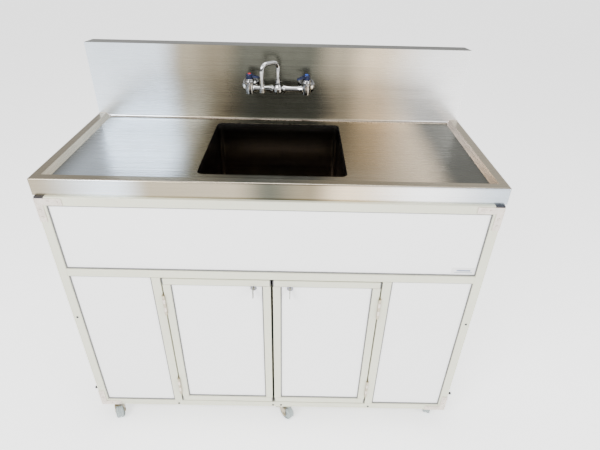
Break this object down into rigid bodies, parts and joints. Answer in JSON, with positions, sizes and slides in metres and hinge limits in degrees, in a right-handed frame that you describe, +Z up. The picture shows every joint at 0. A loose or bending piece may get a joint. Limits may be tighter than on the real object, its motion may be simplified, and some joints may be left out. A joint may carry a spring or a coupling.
{
  "type": "portable handwash sink",
  "caption": "Mobile handwash sink: stainless counter with one basin, backsplash and swing faucet on an aluminium cabinet with two locking doors, tanks, pump and heater, on casters",
  "frame": {"origin": "ground level under the middle of the unit", "axes": "X to the right-hand end seen from the front, Y towards the backsplash, Z up"},
  "size_m": [1.227, 0.5784, 1.165],
  "materials": {
    "frame_aluminium": "satin anodised square tube",
    "panel_sheet": "light grey coated sheet",
    "gasket_rubber": "black extruded rubber",
    "stainless": "brushed stainless sheet",
    "fastener_steel": "plain steel fasteners",
    "chrome": "polished chrome",
    "lever_paint": "dark blue lacquer over chrome",
    "black_plastic": "moulded black plastic",
    "tank_plastic": "translucent white blow-moulded plastic",
    "waste_plastic": "grey blow-moulded plastic",
    "cap_plastic": "coloured ribbed plastic",
    "hose_rubber": "black reinforced hose",
    "drain_plastic": "white drain fittings",
    "pump_body": "dark cast housing",
    "heater_case": "white enamelled case",
    "caster_steel": "zinc plated pressed steel",
    "wheel_rubber": "grey non-marking rubber"
  },
  "bodies": {
    "cabinet": {"corner_posts": "frame_aluminium", "long_rails": "frame_aluminium", "mullions": "frame_aluminium", "depth_rails": "frame_aluminium", "front_top_panel": "panel_sheet", "lower_front_panels": "panel_sheet", "side_panels": "panel_sheet", "rear_panel": "panel_sheet", "floor_panel": "stainless", "panel_gaskets": "gasket_rubber", "corner_plates": "fastener_steel", "frame_screws": "fastener_steel", "post_caps": "black_plastic", "counter_top": "stainless", "basin": "stainless", "drain_flange": "stainless", "drain_tailpiece": "drain_plastic", "faucet_body": "chrome", "faucet_flanges": "chrome", "fresh_water_tank": "tank_plastic", "waste_water_tank": "waste_plastic", "water_pump": "pump_body", "water_heater": "heater_case", "supply_hose": "hose_rubber", "pressure_hoses": "hose_rubber", "hot_hose": "hose_rubber", "drain_hose": "drain_plastic", "power_inlet": "black_plastic", "hinge_frame_leaves": "fastener_steel", "caster_plates": "caster_steel"},
    "left_door": {"left_door_frame": "frame_aluminium", "left_door_panel": "panel_sheet", "left_door_trim": "gasket_rubber", "left_hinge_leaves": "fastener_steel", "left_lock_body": "chrome"},
    "right_door": {"right_door_frame": "frame_aluminium", "right_door_panel": "panel_sheet", "right_door_trim": "gasket_rubber", "right_hinge_leaves": "fastener_steel", "right_lock_body": "chrome"},
    "left_lock": {"left_lock_core": "chrome"},
    "right_lock": {"right_lock_core": "chrome"},
    "spout": {"spout": "chrome"},
    "hot_lever": {"hot_handle": "lever_paint"},
    "cold_lever": {"cold_handle": "lever_paint"},
    "strainer": {"strainer_basket": "stainless"},
    "fresh_cap": {"fresh_tank_cap": "cap_plastic"},
    "waste_cap": {"waste_tank_cap": "cap_plastic"},
    "front_left_swivel": {"front_left_fork": "caster_steel"},
    "front_left_roller": {"front_left_wheel": "wheel_rubber"},
    "front_middle_swivel": {"front_middle_fork": "caster_steel"},
    "front_middle_roller": {"front_middle_wheel": "wheel_rubber"},
    "front_right_swivel": {"front_right_fork": "caster_steel"},
    "front_right_roller": {"front_right_wheel": "wheel_rubber"},
    "rear_left_swivel": {"rear_left_fork": "caster_steel"},
    "rear_left_roller": {"rear_left_wheel": "wheel_rubber"},
    "rear_middle_swivel": {"rear_middle_fork": "caster_steel"},
    "rear_middle_roller": {"rear_middle_wheel": "wheel_rubber"},
    "rear_right_swivel": {"rear_right_fork": "caster_steel"},
    "rear_right_roller": {"rear_right_wheel": "wheel_rubber"}
  },
  "joints": [
    {"name": "left_door_hinge", "type": "hinge", "parent": "cabinet", "child": "left_door", "pos_m": [-0.316, -0.2655, 0.353], "axis": [0, 0, -1], "range_deg": [0, 110]},
    {"name": "right_door_hinge", "type": "hinge", "parent": "cabinet", "child": "right_door", "pos_m": [0.316, -0.2655, 0.353], "axis": [0, 0, 1], "range_deg": [0, 110]},
    {"name": "left_lock_turn", "type": "hinge", "parent": "left_door", "child": "left_lock", "pos_m": [-0.0528, -0.245, 0.6013], "axis": [0, 1, 0], "range_deg": [0, 90]},
    {"name": "right_lock_turn", "type": "hinge", "parent": "right_door", "child": "right_lock", "pos_m": [0.0528, -0.245, 0.6013], "axis": [0, -1, 0], "range_deg": [0, 90]},
    {"name": "spout_swivel", "type": "hinge", "parent": "cabinet", "child": "spout", "pos_m": [0, 0.196, 1.063], "axis": [0, 0, 1], "range_deg": [-17, 113]},
    {"name": "hot_lever_turn", "type": "hinge", "parent": "cabinet", "child": "hot_lever", "pos_m": [-0.09, 0.196, 1.084], "axis": [0, 0, -1], "range_deg": [0, 90]},
    {"name": "cold_lever_turn", "type": "hinge", "parent": "cabinet", "child": "cold_lever", "pos_m": [0.09, 0.196, 1.084], "axis": [0, 0, 1], "range_deg": [-24, 66]},
    {"name": "strainer_lift", "type": "slide", "parent": "cabinet", "child": "strainer", "axis": [0, 0, 1], "range_m": [0, 0.06]},
    {"name": "fresh_cap_turn", "type": "hinge", "parent": "cabinet", "child": "fresh_cap", "pos_m": [0.15, 0.0115, 0.4], "axis": [0, 0, 1], "range_deg": [0, 540]},
    {"name": "waste_cap_turn", "type": "hinge", "parent": "cabinet", "child": "waste_cap", "pos_m": [-0.15, 0.0115, 0.44], "axis": [0, 0, 1], "range_deg": [0, 540]},
    {"name": "front_left_swivel_turn", "type": "hinge", "parent": "cabinet", "child": "front_left_swivel", "pos_m": [-0.55, -0.24, 0.054], "axis": [0, 0, 1], "continuous": true},
    {"name": "front_left_wheel_spin", "type": "hinge", "parent": "front_left_swivel", "child": "front_left_roller", "pos_m": [-0.54456, -0.26028, 0.025], "axis": [0.9659, 0.2588, 0], "continuous": true},
    {"name": "front_middle_swivel_turn", "type": "hinge", "parent": "cabinet", "child": "front_middle_swivel", "pos_m": [0.032, -0.24, 0.054], "axis": [0, 0, 1], "continuous": true},
    {"name": "front_middle_wheel_spin", "type": "hinge", "parent": "front_middle_swivel", "child": "front_middle_roller", "pos_m": [0.04685, -0.25485, 0.025], "axis": [0.7071, 0.7071, 0], "continuous": true},
    {"name": "front_right_swivel_turn", "type": "hinge", "parent": "cabinet", "child": "front_right_swivel", "pos_m": [0.55, -0.24, 0.054], "axis": [0, 0, 1], "continuous": true},
    {"name": "front_right_wheel_spin", "type": "hinge", "parent": "front_right_swivel", "child": "front_right_roller", "pos_m": [0.55718, -0.22027, 0.025], "axis": [-0.9397, 0.342, 0], "continuous": true},
    {"name": "rear_left_swivel_turn", "type": "hinge", "parent": "cabinet", "child": "rear_left_swivel", "pos_m": [-0.55, 0.23, 0.054], "axis": [0, 0, 1], "continuous": true},
    {"name": "rear_left_wheel_spin", "type": "hinge", "parent": "rear_left_swivel", "child": "rear_left_roller", "pos_m": [-0.5605, 0.21181, 0.025], "axis": [0.866, -0.5, 0], "continuous": true},
    {"name": "rear_middle_swivel_turn", "type": "hinge", "parent": "cabinet", "child": "rear_middle_swivel", "pos_m": [0.032, 0.23, 0.054], "axis": [0, 0, 1], "continuous": true},
    {"name": "rear_middle_wheel_spin", "type": "hinge", "parent": "rear_middle_swivel", "child": "rear_middle_roller", "pos_m": [0.01227, 0.22282, 0.025], "axis": [0.342, -0.9397, 0], "continuous": true},
    {"name": "rear_right_swivel_turn", "type": "hinge", "parent": "cabinet", "child": "rear_right_swivel", "pos_m": [0.55, 0.23, 0.054], "axis": [0, 0, 1], "continuous": true},
    {"name": "rear_right_wheel_spin", "type": "hinge", "parent": "rear_right_swivel", "child": "rear_right_roller", "pos_m": [0.54282, 0.24973, 0.025], "axis": [-0.9397, -0.342, 0], "continuous": true}
  ]
}
